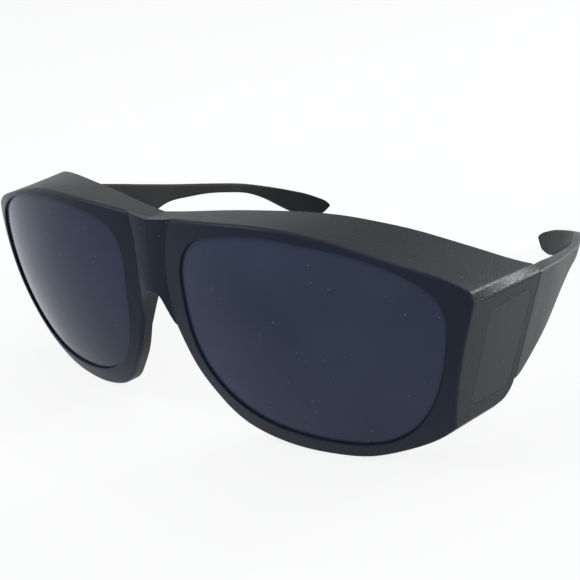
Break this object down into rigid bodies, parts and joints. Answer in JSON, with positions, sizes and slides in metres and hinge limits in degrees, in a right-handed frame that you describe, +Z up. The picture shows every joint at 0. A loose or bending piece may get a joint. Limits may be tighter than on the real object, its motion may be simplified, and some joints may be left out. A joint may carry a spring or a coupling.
{
  "type": "fitover sunglasses",
  "caption": "Large wrap-around sunglasses worn over ordinary glasses, with a brow shelf, deep cheeks with side windows, and folding temples.",
  "frame": {"origin": "centre of the ground under the glasses, which stand open on their rims and temple tips", "axes": "+X to the wearer's left, +Y from the lenses back along the temples, +Z up from the ground. The wearer looks towards -Y."},
  "size_m": [0.1566, 0.1436, 0.058],
  "materials": {
    "frame_plastic": "satin black",
    "tinted_lens": "dark grey, polished",
    "tinted_window": "dark grey, polished",
    "hinge_steel": "satin",
    "screw_steel": "polished"
  },
  "bodies": {
    "front": {"front_frame": "frame_plastic", "lens_left": "tinted_lens", "side_window_left": "tinted_window", "hinge_front_left": "hinge_steel", "hinge_front_rivets_left": "screw_steel", "hinge_screw_left": "screw_steel", "lens_right": "tinted_lens", "side_window_right": "tinted_window", "hinge_front_right": "hinge_steel", "hinge_front_rivets_right": "screw_steel", "hinge_screw_right": "screw_steel"},
    "temple_left": {"temple_left": "frame_plastic", "hinge_temple_left": "hinge_steel", "hinge_temple_rivets_left": "screw_steel"},
    "temple_right": {"temple_right": "frame_plastic", "hinge_temple_right": "hinge_steel", "hinge_temple_rivets_right": "screw_steel"}
  },
  "joints": [
    {"name": "temple_left_fold", "type": "hinge", "parent": "front", "child": "temple_left", "pos_m": [0.07168, -0.03061, 0.0264], "axis": [0.1762, 0.1528, 0.9724], "range_deg": [0, 90]},
    {"name": "temple_right_fold", "type": "hinge", "parent": "front", "child": "temple_right", "pos_m": [-0.07168, -0.03061, 0.0264], "axis": [0.1071, -0.1544, -0.9822], "range_deg": [0, 90]}
  ]
}
